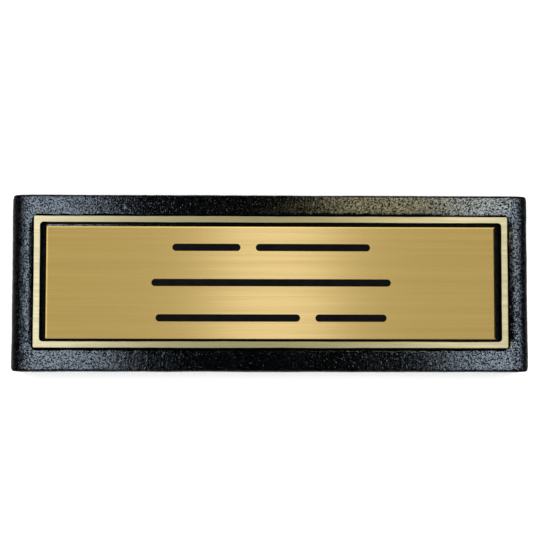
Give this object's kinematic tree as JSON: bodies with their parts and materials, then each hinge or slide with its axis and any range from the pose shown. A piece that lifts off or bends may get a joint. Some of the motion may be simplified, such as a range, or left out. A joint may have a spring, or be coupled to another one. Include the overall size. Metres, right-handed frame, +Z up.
{
  "type": "desk paperweight",
  "caption": "Cast desk paperweight with a textured black finish, a proud brushed brass border frame, an engraved brass plate in its pocket and a felt base.",
  "frame": {"origin": "centre of the outline of the base, on the surface that the felt rests on", "axes": "+X along the length, to the right as the engraved marks are seen; +Y to the back; +Z up, out of the plate's face"},
  "size_m": [0.1172, 0.04, 0.015],
  "materials": {
    "black_textured_casting": "satin",
    "pale_brushed_brass": "satin",
    "bonding_resin": "matte",
    "gold_brushed_brass": "satin",
    "black_infill": "satin",
    "mounting_film": "matte",
    "green_felt": "matte",
    "felt_adhesive": "matte"
  },
  "bodies": {
    "root": {"cast_base": "black_textured_casting", "border_frame": "pale_brushed_brass", "frame_bond": "bonding_resin", "name_plate": "gold_brushed_brass", "engraving_fill": "black_infill", "plate_film": "mounting_film", "felt_pad": "green_felt", "felt_glue": "felt_adhesive"}
  },
  "joints": []
}
